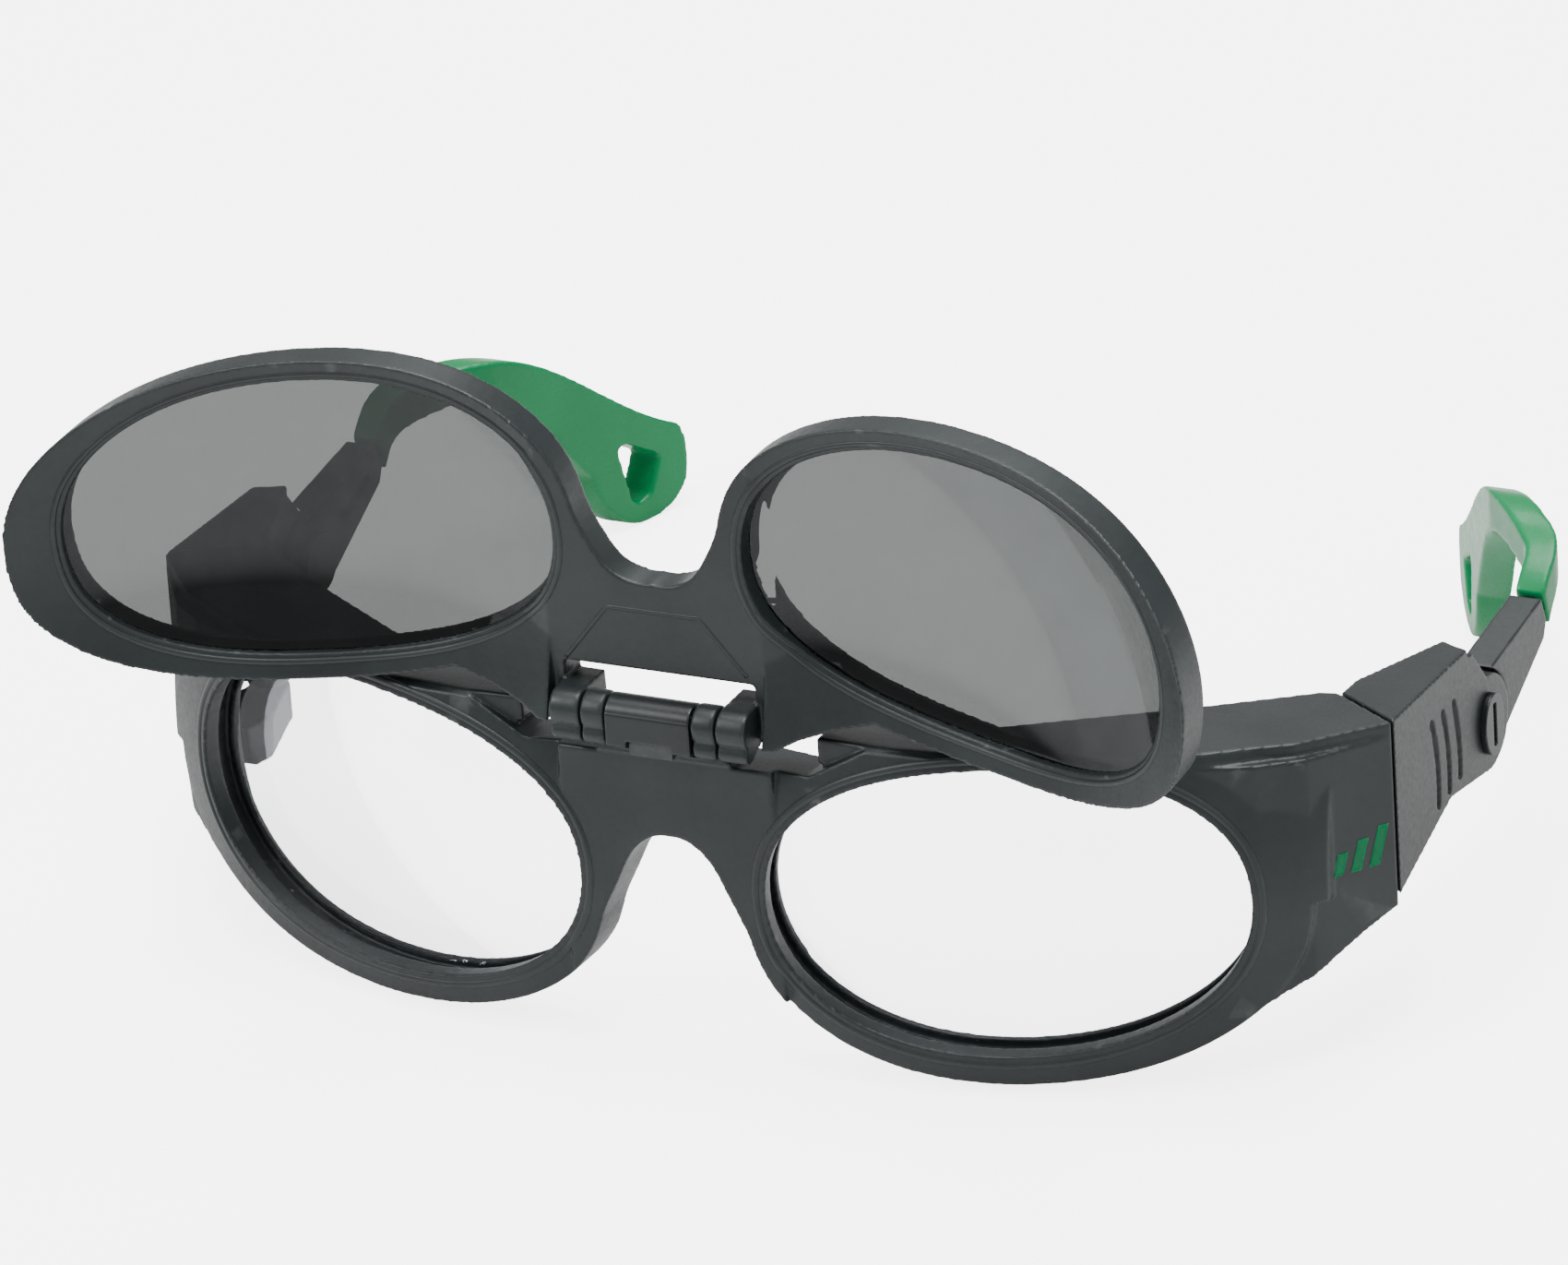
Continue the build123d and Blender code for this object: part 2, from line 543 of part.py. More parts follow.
# === temples ==============================================================================
with BuildPart() as temple_front_left:
    # wall with its round end at the incline pivot
    with BuildSketch(side(TEMPLE_X)):
        Polygon(
            (SEAM_OUT[1] - 1.0, SHELF_TOP - 1.0),
            (SEAM_OUT[1] - 1.0, WALL_LOW + 0.4),
            (TEMPLE_END - 5.0, INCLINE_Z - HUB_R + 1.2),
            (INCLINE_Y, INCLINE_Z - HUB_R),
            (INCLINE_Y, INCLINE_Z + HUB_R),
            (TEMPLE_END + 2.0, SHELF_TOP - 1.0),
            align=None,
        )
        with Locations((INCLINE_Y, INCLINE_Z)):
            Circle(HUB_R)
    extrude(amount=-TEMPLE_WALL)
    # shelf on top, joined to the wall
    with BuildSketch(level(SHELF_TOP - SHELF_T)):
        Polygon(
            (FOLD_X + 0.3, seam_y(FOLD_X + 0.3) - 1.0),
            (TEMPLE_X, SEAM_OUT[1] - 1.0),
            (TEMPLE_X, TEMPLE_END + 0.6),
            (TEMPLE_X - TEMPLE_WALL, TEMPLE_END + 2.2),
            (FOLD_X + 0.6, FOLD_Y + 4.0),
            align=None,
        )
    extrude(amount=SHELF_T)
    # knuckle on the folding pin, tied to the wall
    with BuildSketch(level(KNUCKLE_LOW + KNUCKLE_GAP)):
        with Locations((FOLD_X, FOLD_Y)):
            Circle(FOLD_R)
        Polygon(
            (FOLD_X, FOLD_Y - FOLD_R),
            (TEMPLE_X - 1.0, seam_y(TEMPLE_X - 1.0)),
            (TEMPLE_X - 1.0, FOLD_Y + 4.0),
            (FOLD_X, FOLD_Y + FOLD_R),
            align=None,
        )
    extrude(amount=KNUCKLE_SPLIT - KNUCKLE_LOW - 2 * KNUCKLE_GAP)
    # everything ahead of the seam is cut away, except the knuckle
    with BuildSketch(level(-20)):
        Polygon(
            (FOLD_X - 1.0, seam_y(FOLD_X - 1.0) + SEAM_GAP),
            (TEMPLE_X + 3, seam_y(TEMPLE_X + 3) + SEAM_GAP),
            (TEMPLE_X + 3, SEAM_OUT[1] - 10),
            (FOLD_X - 1.0, SEAM_OUT[1] - 10),
            align=None,
        )
        with Locations((FOLD_X, FOLD_Y)):
            Circle(FOLD_R, mode=Mode.SUBTRACT)
    extrude(amount=KNUCKLE_TOP + 20, mode=Mode.SUBTRACT)
    with BuildSketch(level(KNUCKLE_TOP)):
        Polygon(
            (FOLD_X - 1.0, seam_y(FOLD_X - 1.0) + SEAM_GAP),
            (TEMPLE_X + 3, seam_y(TEMPLE_X + 3) + SEAM_GAP),
            (TEMPLE_X + 3, SEAM_OUT[1] - 10),
            (FOLD_X - 1.0, SEAM_OUT[1] - 10),
            align=None,
        )
    extrude(amount=20, mode=Mode.SUBTRACT)
    # clear of the frame's knuckles
    for low, high in (
        (KNUCKLE_SPLIT - KNUCKLE_GAP, KNUCKLE_TOP + KNUCKLE_GAP),
        (WALL_LOW - 1, KNUCKLE_LOW + KNUCKLE_GAP),
    ):
        with BuildSketch(level(low)):
            with Locations((FOLD_X, FOLD_Y)):
                Circle(FOLD_R + 0.5)
        extrude(amount=high - low, mode=Mode.SUBTRACT)
    # the arm's side of the incline pivot
    with BuildSketch(side(TEMPLE_X - HUB_T)):
        with Locations((INCLINE_Y, INCLINE_Z)):
            Circle(HUB_R + 0.5)
        with Locations((INCLINE_Y + 10, INCLINE_Z)):
            Rectangle(20, 40)
    extrude(amount=-10, mode=Mode.SUBTRACT)
    with BuildSketch(side(TEMPLE_X + 1)):
        with Locations((INCLINE_Y, INCLINE_Z)):
            Circle(AXLE_R)
    extrude(amount=-10, mode=Mode.SUBTRACT)
    with BuildSketch(level(-20)):
        with Locations((FOLD_X, FOLD_Y)):
            Circle(FOLD_PIN_R + RUN_FIT)
    extrude(amount=KNUCKLE_SPLIT + 20, mode=Mode.SUBTRACT)
    # three curved grooves across the outer face
    for k in range(3):
        with BuildSketch(side(TEMPLE_X)):
            with BuildLine():
                arc = RadiusArc(
                    (TEMPLE_END - 8.5 + 3.0 * k, WALL_LOW + 7.0 + 0.5 * k),
                    (TEMPLE_END - 9.5 + 3.0 * k, SHELF_TOP - 4.6),
                    -22,
                )
                offset(arc, amount=0.45, side=Side.BOTH)
            make_face()
        extrude(amount=-0.6, mode=Mode.SUBTRACT)

# direction of the slider, and where it leaves the arm
UP_Y = cos(radians(ARM_UP))
UP_Z = sin(radians(ARM_UP))


def along(distance, across=0.0):
    """Point in the side view, measured from the arm's end along the slider's line."""
    return (
        ARM_END + distance * UP_Y - across * UP_Z,
        ARM_END_Z + distance * UP_Z + across * UP_Y,
    )


def bar(start, end, half):
    """Corners of a bar along the slider's line."""
    return [along(start, -half), along(end, -half), along(end, half), along(start, half)]


with BuildPart() as incline_arm_left:
    with BuildSketch(side(ARM_OUT)):
        with Locations((INCLINE_Y, INCLINE_Z)):
            Circle(HUB_R - 0.3)
        Polygon(
            (INCLINE_Y, INCLINE_Z + HUB_R - 0.3),
            (ARM_END - 0.4, ARM_END_Z + 2.5),
            (ARM_END + 0.8, ARM_END_Z - 0.6),
            (ARM_END, ARM_END_Z - 2.4),
            (INCLINE_Y + 2.0, INCLINE_Z - HUB_R + 0.7),
            align=None,
        )
    extrude(amount=-(ARM_OUT - ARM_IN))
    with BuildSketch(side(ARM_OUT + 1)):
        with Locations((INCLINE_Y, INCLINE_Z)):
            Circle(HUB_R + 0.4)
    extrude(amount=-(ARM_OUT + 1 - TEMPLE_X + HUB_T + 0.3), mode=Mode.SUBTRACT)
    with BuildSketch(side(ARM_OUT + 1)):
        with Locations((INCLINE_Y, INCLINE_Z)):
            Circle(AXLE_R + RUN_FIT)
    extrude(amount=-10, mode=Mode.SUBTRACT)
    # channel for the slider, with a slot in the inner face
    with BuildSketch(side((ARM_OUT + ARM_IN) / 2 + CORE_T / 2 + SLIDE_GAP)):
        Polygon(*bar(-CORE_L - 0.6, 6, CORE_H / 2 + SLIDE_GAP), align=None)
    extrude(amount=-(CORE_T + 2 * SLIDE_GAP), mode=Mode.SUBTRACT)
    with BuildSketch(side((ARM_OUT + ARM_IN) / 2)):
        Polygon(*bar(-CORE_L + 1.0, -2.5, CORE_H / 2 - 0.6), align=None)
    extrude(amount=-10, mode=Mode.SUBTRACT)

with BuildPart() as incline_axle_left:
    with BuildSketch(side(TEMPLE_X + 0.8)):
        with Locations((INCLINE_Y, INCLINE_Z)):
            Ellipse(2.5, 3.6)
        with Locations((INCLINE_Y, INCLINE_Z)):
            Rectangle(0.8, 5.0, mode=Mode.SUBTRACT)
    extrude(amount=-0.8)
    with BuildSketch(side(TEMPLE_X + 0.2)):
        with Locations((INCLINE_Y, INCLINE_Z)):
            Ellipse(2.5, 3.6)
    extrude(amount=-0.2)
    with BuildSketch(side(TEMPLE_X + 0.2)):
        with Locations((INCLINE_Y, INCLINE_Z)):
            Circle(AXLE_R)
    extrude(amount=-(TEMPLE_X + 0.2 - ARM_IN + 0.6))

with BuildPart() as incline_cap_left:
    with BuildSketch(side(ARM_IN - 0.3)):
        with Locations((INCLINE_Y, INCLINE_Z)):
            Circle(3.6)
    extrude(amount=-0.9)
    with BuildSketch(side(ARM_IN - 0.2)):
        with Locations((INCLINE_Y, INCLINE_Z)):
            Circle(AXLE_R)
    extrude(amount=-0.4, mode=Mode.SUBTRACT)

with BuildPart() as slider_left:
    with BuildSketch(side((ARM_OUT + ARM_IN) / 2 + CORE_T / 2)):
        Polygon(*bar(-CORE_L, 5.0, CORE_H / 2), align=None)
    extrude(amount=-CORE_T)
    # detent teeth along its upper edge
    with BuildSketch(side((ARM_OUT + ARM_IN) / 2 + CORE_T / 2)):
        for k in range(5):
            Polygon(
                along(-CORE_L + 1.2 + 2.0 * k, CORE_H / 2),
                along(-CORE_L + 2.2 + 2.0 * k, CORE_H / 2),
                along(-CORE_L + 1.7 + 2.0 * k, CORE_H / 2 - 0.6),
                align=None,
            )
    extrude(amount=-CORE_T, mode=Mode.SUBTRACT)

with BuildPart() as ear_tip_left:
    # band seen from above: straight back, then turned in behind the ear
    with BuildSketch(level(-20)):
        with BuildLine():
            path = Polyline(
                ((ARM_OUT + ARM_IN) / 2, ARM_END + 1.4),
                ((ARM_OUT + ARM_IN) / 2, TIP_TURN),
                (64.0, TIP_TURN + 9.6),
                (51.0, TIP_TURN + 30.2),
            )
            fillet(path.vertices().sort_by(Axis.Y)[1:3], 5)
            offset(amount=TIP_T / 2, side=Side.BOTH)
        make_face()
    extrude(amount=60)
    # side view of the hook
    with BuildSketch(side(90)):
        with BuildLine():
            Spline(
                along(1.4, 2.2),
                (ARM_END + 7.6, 20.4),
                (ARM_END + 13.4, 21.2),
                (ARM_END + 24.0, 15.2),
                (TIP_LOW_Y + 5.2, 7.2),
            )
            Spline(
                (TIP_LOW_Y + 5.2, 7.2),
                (TIP_LOW_Y + 6.0, 4.6),
                (TIP_LOW_Y + 4.7, TIP_LOW_Z + 2.4),
                (TIP_LOW_Y + 2.4, TIP_LOW_Z + 0.62),
                (TIP_LOW_Y, TIP_LOW_Z + 0.18),
                (TIP_LOW_Y - 2.8, TIP_LOW_Z + 2.2),
                (TIP_LOW_Y - 4.8, TIP_LOW_Z + 7.4),
            )
            Spline(
                (TIP_LOW_Y - 4.8, TIP_LOW_Z + 7.4),
                (ARM_END + 18.2, 12.4),
                (ARM_END + 12.6, 16.6),
                (ARM_END + 8.0, 16.1),
                along(1.4, -2.2),
            )
            Line(along(1.4, -2.2), along(1.4, 2.2))
        make_face()
    extrude(amount=-60, mode=Mode.INTERSECT)
    # eyelet for a cord
    with BuildSketch(side(90)):
        Polygon(
            (TIP_LOW_Y - 2.2, 7.2),
            (TIP_LOW_Y + 2.9, 4.0),
            (TIP_LOW_Y + 1.6, -0.6),
            (TIP_LOW_Y - 0.4, -1.8),
            align=None,
        )
        fillet(vertices(), 0.8)
    extrude(amount=-60, mode=Mode.SUBTRACT)
    # socket on the slider
    with BuildSketch(side((ARM_OUT + ARM_IN) / 2 + CORE_T / 2)):
        Polygon(*bar(-1.0, 5.0, CORE_H / 2), align=None)
    extrude(amount=-CORE_T, mode=Mode.SUBTRACT)

with BuildPart() as fold_pin_left:
    with BuildSketch(level(WALL_LOW + 0.2)):
        with Locations((FOLD_X, FOLD_Y)):
            Circle(FOLD_PIN_R)
    extrude(amount=KNUCKLE_TOP - WALL_LOW - 0.4)

pieces = {
    "front_frame": front_frame,
    "clear_lens_left": clear_lens_left,
    "clear_lens_right": clear_lens_right,
    "flip_front": flip_front,
    "shade_lens_left": shade_lens_left,
    "shade_lens_right": shade_lens_right,
    "flip_hinge_pin": flip_hinge_pin,
    "hinge_block": hinge_block,
    "detent_spring": detent_spring,
}
paired = {
    "fold_pin": fold_pin_left,
    "temple_front": temple_front_left,
    "incline_arm": incline_arm_left,
    "incline_axle": incline_axle_left,
    "incline_cap": incline_cap_left,
    "slider": slider_left,
    "ear_tip": ear_tip_left,
}
for name, left in paired.items():
    with BuildPart() as right:
        mirror(left.part, about=Plane.YZ)
    pieces[name + "_left"] = left
    pieces[name + "_right"] = right

for name, piece in pieces.items():
    piece.part.label = name
    export_step(piece.part, "parts/" + name + ".step")
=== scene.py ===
"""Looks of the flip-up welding goggles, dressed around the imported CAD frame."""

import json
import logging
import math
from dataclasses import dataclass, field
from enum import Enum
from typing import Any, Iterable, Optional, Union

import bmesh
import bpy
from mathutils import Matrix, Vector
from mathutils.bvhtree import BVHTree


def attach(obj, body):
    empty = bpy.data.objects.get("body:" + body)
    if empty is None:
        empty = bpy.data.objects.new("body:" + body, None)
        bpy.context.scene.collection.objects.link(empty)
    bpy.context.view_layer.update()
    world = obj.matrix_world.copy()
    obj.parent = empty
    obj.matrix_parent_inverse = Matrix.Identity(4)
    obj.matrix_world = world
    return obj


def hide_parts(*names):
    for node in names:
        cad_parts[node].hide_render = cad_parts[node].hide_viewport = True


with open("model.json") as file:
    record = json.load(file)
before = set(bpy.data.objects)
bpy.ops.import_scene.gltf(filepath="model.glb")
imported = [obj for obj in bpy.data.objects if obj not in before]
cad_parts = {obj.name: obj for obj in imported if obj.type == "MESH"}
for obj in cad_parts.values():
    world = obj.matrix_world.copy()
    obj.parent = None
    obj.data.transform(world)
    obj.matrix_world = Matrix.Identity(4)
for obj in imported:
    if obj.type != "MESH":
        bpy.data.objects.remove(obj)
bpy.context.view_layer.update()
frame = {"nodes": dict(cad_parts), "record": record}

LOG = logging.getLogger("goggles")
MM = 0.001
MERGE_GAP = 0.002 * MM
SLIVER = 0.001 * MM
RIM_ANGLE = math.radians(50)
SHARP_ANGLE = math.radians(25)
RAY_START = 40
Colour = tuple[float, float, float]
Point = tuple[float, float, float]
Laid = list[tuple[Vector, Vector]]


# --- shader building ----------------------------------------------------------------


class Sock:
    """A shader socket that takes part in Python arithmetic."""

    def __init__(self, tree: "Tree", socket: bpy.types.NodeSocket) -> None:
        """Wraps socket of a node in tree."""
        self.tree = tree
        self.socket = socket

    def _math(self, operation: str, a: Any, b: Any) -> "Sock":
        """Adds one Math node and returns its output."""
        return self.tree.node("ShaderNodeMath", {"operation": operation}, {0: a, 1: b})

    def __add__(self, other: Any) -> "Sock":
        """self + other."""
        return self._math("ADD", self, other)

    __radd__ = __add__

    def __sub__(self, other: Any) -> "Sock":
        """self - other."""
        return self._math("SUBTRACT", self, other)

    def __rsub__(self, other: Any) -> "Sock":
        """other - self."""
        return self._math("SUBTRACT", other, self)

    def __mul__(self, other: Any) -> "Sock":
        """self * other."""
        return self._math("MULTIPLY", self, other)

    __rmul__ = __mul__

    def between(self, low: float, high: float) -> "Sock":
        """Turns the value into a mask.

        Args:
            low: The value that gives 0, as anything below it does.
            high: The value that gives 1, as anything above it does.

        Returns:
            The mask, smooth between the two.
        """
        settings = {"interpolation_type": "SMOOTHSTEP"}
        inputs = {0: self, 1: low, 2: high, 3: 0.0, 4: 1.0}
        return self.tree.node("ShaderNodeMapRange", settings, inputs)


class Tree:
    """The node tree of one material."""

    def __init__(self, name: str) -> None:
        """Makes an empty material.

        Args:
            name: The material's name.
        """
        self.material = bpy.data.materials.new(name)
        self.material.use_nodes = True
        self.tree = self.material.node_tree
        self.tree.nodes.clear()

    def node(
        self,
        kind: str,
        settings: Optional[dict[str, Any]] = None,
        inputs: Optional[dict[Any, Any]] = None,
        output: Union[int, str] = 0,
    ) -> Sock:
        """Adds one node.

        Args:
            kind: The node's type.
            settings: Its own properties, set first.
            inputs: Values or Socks of its input sockets.
            output: Which output to return.

        Returns:
            The chosen output.
        """
        n = self.tree.nodes.new(kind)
        for key, value in (settings or {}).items():
            setattr(n, key, value)
        for key, value in (inputs or {}).items():
            if isinstance(value, Sock):
                self.tree.links.new(value.socket, n.inputs[key])
            elif isinstance(value, tuple) and len(value) == 3 and n.inputs[key].type == "RGBA":
                n.inputs[key].default_value = (*value, 1.0)
            else:
                n.inputs[key].default_value = value
        return Sock(self, n.outputs[output])

    def coords(self) -> Sock:
        """Object coordinates, in metres."""
        return self.node("ShaderNodeTexCoord", output="Object")

    def noise(self, per_metre: float, detail: float, rough: float = 0.5) -> Sock:
        """A noise value about 0.5, with that many features to the metre."""
        inputs = {"Vector": self.coords(), "Scale": per_metre, "Detail": detail, "Roughness": rough}
        return self.node("ShaderNodeTexNoise", None, inputs)

    def blend(self, factor: Any, a: Any, b: Any) -> Sock:
        """Colour a where factor is 0, colour b where it is 1."""
        inputs = {0: factor, 6: a, 7: b}
        return self.node("ShaderNodeMix", {"data_type": "RGBA"}, inputs, output=2)

    def bump(self, height: Sock, strength: float, depth: float, below: Optional[Sock] = None) -> Sock:
        """Adds a Bump node.

        Args:
            height: The relief, from 0 to 1.
            strength: How much of the relief shows.
            depth: The relief's depth in metres.
            below: A coarser normal that this one lies on.

        Returns:
            The bumped normal.
        """
        inputs: dict[Any, Any] = {"Height": height, "Strength": strength, "Distance": depth}
        if below is not None:
            inputs["Normal"] = below
        return self.node("ShaderNodeBump", None, inputs)

    def finish(self, shader: Sock) -> bpy.types.Material:
        """Ends the tree.

        Args:
            shader: The shader of the whole surface.

        Returns:
            The finished material.
        """
        end = self.tree.nodes.new("ShaderNodeOutputMaterial")
        self.tree.links.new(shader.socket, end.inputs["Surface"])
        return self.material


@dataclass(frozen=True)
class MouldedPlastic:
    """Satin moulded plastic: fine grain, faint flow clouds, edges smoothed by handling and painted lighter
    as a highlight, and painted shade in its hollows.
    """

    name: str
    base: Colour
    # The colour of the painted highlight that lightens convex edges.
    edge: Colour
    rough: float = 0.42
    grain: float = 0.5
    clouds_per_m: float = 90.0
    # Scale of the noise that breaks up the edge polish and the painted edge highlight.
    wear_and_sheen_per_m: float = 420.0
    coarse_per_m: float = 1500.0
    grain_per_m: float = 5200.0
    coarse_depth: float = 0.06 * MM
    grain_depth: float = 0.03 * MM

    def material(self) -> bpy.types.Material:
        """Builds the finish's node tree.

        Returns:
            The material.
        """
        t = Tree(self.name)
        clouds = t.noise(self.clouds_per_m, 3.0).between(0.35, 0.68)
        grain = t.noise(self.grain_per_m, 2.0)
        coarse = t.noise(self.coarse_per_m, 3.0, 0.6)
        # Noise that breaks up both the edge polish and the painted edge highlight.
        wear_and_sheen = t.noise(self.wear_and_sheen_per_m, 4.0, 0.65).between(0.3, 0.7)
        point = t.node("ShaderNodeNewGeometry", output="Pointiness")
        # Convex edges from pointiness: smoother from handling, and painted lighter as a highlight.
        edges = point.between(0.52, 0.64) * (0.35 + wear_and_sheen * 0.65)
        # Concave places from pointiness, where shade is painted.
        painted_hollow_shade = 1.0 - point.between(0.40, 0.49)
        dark = tuple(c * 0.80 for c in self.base)
        light = tuple(c * 1.12 for c in self.base)
        body = t.blend(clouds, dark, light)
        # Painted shade: hollows darkened towards a dark copy of the base colour.
        body = t.blend(painted_hollow_shade * 0.25, body, tuple(c * 0.45 for c in self.base))
        # Painted highlight: convex edges lightened towards the edge colour.
        colour = t.blend(edges * 0.75, body, self.edge)
        rough = self.rough + (coarse - 0.5) * 0.22 + (grain - 0.5) * 0.16 - edges * 0.10
        normal = t.bump(grain, 0.35 * self.grain, self.grain_depth)
        normal = t.bump(coarse, 0.30 * self.grain, self.coarse_depth, normal)
        shader = t.node(
            "ShaderNodeBsdfPrincipled",
            None,
            {
                "Base Color": colour,
                "Roughness": rough,
                "Normal": normal,
                "Specular IOR Level": 0.34,
            },
        )
        return t.finish(shader)


@dataclass(frozen=True)
class SoftRubber:
    """Glossy tinted elastomer, a little see-through at its thin edges, where that glow of light is painted
    as a lighter colour.
    """

    name: str
    deep: Colour
    # The paler tone of the rubber, also used as the painted glow on its edges.
    thin: Colour
    rough: float = 0.3
    clouds_per_m: float = 120.0
    smear_per_m: float = 600.0
    fine_per_m: float = 3600.0
    smear_depth: float = 0.08 * MM
    fine_depth: float = 0.03 * MM

    def material(self) -> bpy.types.Material:
        """Builds the finish's node tree.

        Returns:
            The material.
        """
        t = Tree(self.name)
        clouds = t.noise(self.clouds_per_m, 3.0).between(0.3, 0.7)
        fine = t.noise(self.fine_per_m, 2.0)
        smear = t.noise(self.smear_per_m, 3.0, 0.6)
        point = t.node("ShaderNodeNewGeometry", output="Pointiness")
        # Convex edges from pointiness, for the painted glow.
        edges = point.between(0.50, 0.60)
        colour = t.blend(clouds * 0.35, self.deep, self.thin)
        # Painted glow: convex edges lightened towards the paler tone.
        colour = t.blend(edges * 0.6, colour, self.thin)
        rough = self.rough + (smear - 0.5) * 0.22 + (fine - 0.5) * 0.08
        normal = t.bump(fine, 0.2, self.fine_depth)
        normal = t.bump(smear, 0.15, self.smear_depth, normal)
        shader = t.node(
            "ShaderNodeBsdfPrincipled",
            None,
            {
                "Base Color": colour,
                "Roughness": rough,
                "Normal": normal,
                "Specular IOR Level": 0.22,
                "Coat Weight": 0.05,
                "Coat Roughness": 0.08,
            },
        )
        return t.finish(shader)


@dataclass(frozen=True)
class LensGlass:
    """Polycarbonate lens: a tinted see-through sheet under a clear reflection."""

    name: str
    passes: Colour
    shine: float = 0.035
    haze: float = 0.02
    smear_per_m: float = 140.0
    dust_per_m: float = 2600.0

    def material(self) -> bpy.types.Material:
        """Builds the finish's node tree.

        Returns:
            The material.
        """
        t = Tree(self.name)
        smear = t.noise(self.smear_per_m, 4.0, 0.6).between(0.35, 0.75)
        dust = t.noise(self.dust_per_m, 2.0).between(0.66, 0.76)
        facing = t.node("ShaderNodeLayerWeight", None, {"Blend": 0.25}, output="Fresnel")
        through = t.node("ShaderNodeBsdfTransparent", None, {"Color": self.passes})
        gloss = t.node(
            "ShaderNodeBsdfPrincipled",
            None,
            {
                "Base Color": (0.75, 0.77, 0.8),
                "Metallic": 1.0,
                "Roughness": 0.04 + smear * self.haze + dust * 0.04,
            },
        )
        factor = self.shine * (0.8 + smear * 0.2) + facing * 0.25 + dust * 0.003
        shader = t.node("ShaderNodeMixShader", None, {0: factor, 1: through, 2: gloss})
        return t.finish(shader)


@dataclass(frozen=True)
class GroundSteel:
    """Ground steel with fine turning lines."""

    name: str
    base: Colour = (0.55, 0.56, 0.57)
    lines_per_m: float = 3800.0
    stain_per_m: float = 300.0
    line_depth: float = 0.02 * MM

    def material(self) -> bpy.types.Material:
        """Builds the finish's node tree.

        Returns:
            The material.
        """
        t = Tree(self.name)
        lines = t.noise(self.lines_per_m, 2.0)
        stain = t.noise(self.stain_per_m, 3.0).between(0.3, 0.7)
        colour = t.blend(stain, tuple(c * 0.8 for c in self.base), self.base)
        shader = t.node(
            "ShaderNodeBsdfPrincipled",
            None,
            {
                "Base Color": colour,
                "Metallic": 1.0,
                "Roughness": 0.28 + (lines - 0.5) * 0.3,
                "Normal": t.bump(lines, 0.2, self.line_depth),
            },
        )
        return t.finish(shader)


class Finish(Enum):
    """Finishes of the goggles' pieces."""

    # Each moulded plastic's second colour is its painted edge highlight.
    FRAME = MouldedPlastic("satin_grey_frame", (0.0115, 0.0155, 0.0165), (0.060, 0.066, 0.069))
    VISOR = MouldedPlastic("satin_grey_visor", (0.0125, 0.0165, 0.0175), (0.064, 0.070, 0.073))
    ARM = MouldedPlastic("satin_grey_arm", (0.0115, 0.0150, 0.0160), (0.058, 0.063, 0.066))
    SMOOTH = MouldedPlastic(
        "smooth_grey_parts", (0.0085, 0.011, 0.012), (0.05, 0.055, 0.058), rough=0.34, grain=0.3
    )
    TIP = SoftRubber("green_soft_tip", (0.0, 0.155, 0.047), (0.0, 0.215, 0.075))
    MARK = MouldedPlastic(
        "printed_green_mark", (0.0, 0.22, 0.075), (0.0, 0.26, 0.10), rough=0.5, grain=0.3
    )
    CLEAR = LensGlass("clear_lens_glass", (0.955, 0.955, 0.972))
    SHADE = LensGlass("shade_lens_glass", (0.200, 0.206, 0.203))
    STEEL = GroundSteel("ground_steel")


class Palette:
    """Builds each finish's material once."""

    def __init__(self) -> None:
        """Starts empty."""
        self.made: dict[Finish, bpy.types.Material] = {}

    def __getitem__(self, finish: Finish) -> bpy.types.Material:
        """Looks a material up, and builds it the first time.

        Args:
            finish: The finish wanted.

        Returns:
            Its material.
        """
        if finish not in self.made:
            self.made[finish] = finish.value.material()
        return self.made[finish]


# --- shaping ------------------------------------------------------------------------


def dress(obj: bpy.types.Object, material: bpy.types.Material) -> None:
    """Gives obj that one material."""
    obj.data.materials.clear()
    obj.data.materials.append(material)


def dress_node(node: str, material: bpy.types.Material) -> None:
    """Gives a CAD node's object one material.

    Args:
        node: The CAD node, which stays as it is.
        material: What each of its slots gets.
    """
    obj = frame["nodes"][node]
    if not obj.material_slots:
        obj.data.materials.append(material)
    for slot in obj.material_slots:
        slot.material = material


def link(mesh: bpy.types.Mesh, name: str) -> bpy.types.Object:
    """Puts a mesh into the scene.

    Args:
        mesh: The mesh.
        name: The new object's name.

    Returns:
        The object.
    """
    obj = bpy.data.objects.new(name, mesh)
    bpy.context.scene.collection.objects.link(obj)
    return obj


def merged_copy(node: str, name: str) -> bpy.types.Object:
    """Copies a CAD node's mesh and joins its loose triangles.

    Args:
        node: The CAD node.
        name: The copy's name.

    Returns:
        The copy.
    """
    bm = bmesh.new()
    bm.from_mesh(frame["nodes"][node].data)
    bmesh.ops.remove_doubles(bm, verts=bm.verts, dist=MERGE_GAP)
    bmesh.ops.dissolve_degenerate(bm, edges=bm.edges, dist=SLIVER)
    mesh = bpy.data.meshes.new(name)
    bm.to_mesh(mesh)
    bm.free()
    return link(mesh, name)


def apply_modifiers(obj: bpy.types.Object) -> None:
    """Turns an object's modifiers into its mesh.

    Args:
        obj: The object, which keeps no modifier.
    """
    bpy.context.view_layer.update()
    graph = bpy.context.evaluated_depsgraph_get()
    mesh = bpy.data.meshes.new_from_object(obj.evaluated_get(graph))
    obj.modifiers.clear()
    old = obj.data
    obj.data = mesh
    mesh.name = old.name + "_shape"
    bpy.data.meshes.remove(old)


